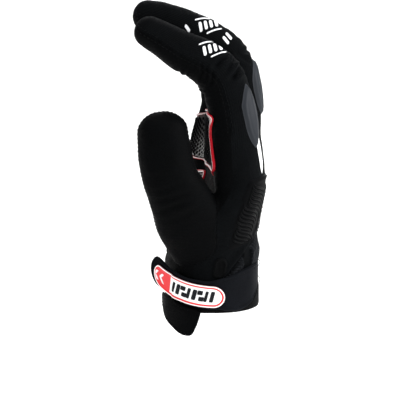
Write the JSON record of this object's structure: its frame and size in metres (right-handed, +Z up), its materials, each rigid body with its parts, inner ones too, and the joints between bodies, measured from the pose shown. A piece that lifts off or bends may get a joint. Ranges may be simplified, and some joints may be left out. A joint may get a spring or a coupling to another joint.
{
  "type": "protective work glove",
  "caption": "Right-hand mechanic's work glove, fingers curled, with knuckle guards, ribbed back panel, grip pads, wrist strap and pull flap; hollow and open at the wrist.",
  "frame": {"origin": "middle of the wrist opening, in the plane of the cuff's lower edge", "axes": "+Z up the hand towards the fingers, +X out of the back of the hand, -X out of the palm, -Y towards the thumb"},
  "size_m": [0.0817, 0.0977, 0.2012],
  "materials": {
    "stretch_cloth": "matt black knitted stretch cloth with a slight sheen",
    "palm_leather": "soft black synthetic leather with fine grain",
    "grey_rubber": "satin moulded grey rubber",
    "white_rubber": "satin moulded white rubber",
    "black_rubber": "satin moulded black rubber with raised ribs",
    "carbon_grip": "glossy grip coating with a woven carbon look",
    "red_piping": "glossy red piping",
    "binding_tape": "matt black woven tape",
    "strap_cloth": "matt black brushed strap cloth",
    "badge_rubber": "satin white rubber with red parts"
  },
  "bodies": {
    "root": {"hand_body": "stretch_cloth", "index_stall": "stretch_cloth", "middle_stall": "stretch_cloth", "ring_stall": "stretch_cloth", "little_stall": "stretch_cloth", "thumb_stall": "palm_leather", "knuckle_guard_index": "grey_rubber", "knuckle_guard_middle": "grey_rubber", "knuckle_guard_ring": "grey_rubber", "knuckle_guard_little": "grey_rubber", "guard_tip_index": "white_rubber", "guard_tip_middle": "white_rubber", "guard_tip_ring": "white_rubber", "guard_tip_little": "white_rubber", "rib_panel": "black_rubber", "palm_pad_upper": "carbon_grip", "palm_pad_heel": "carbon_grip", "pad_piping_upper": "red_piping", "pad_piping_heel": "red_piping", "cuff_binding": "binding_tape", "wrist_strap": "strap_cloth", "strap_badge": "badge_rubber", "pull_flap": "palm_leather", "seam_tab": "binding_tape"}
  },
  "joints": []
}
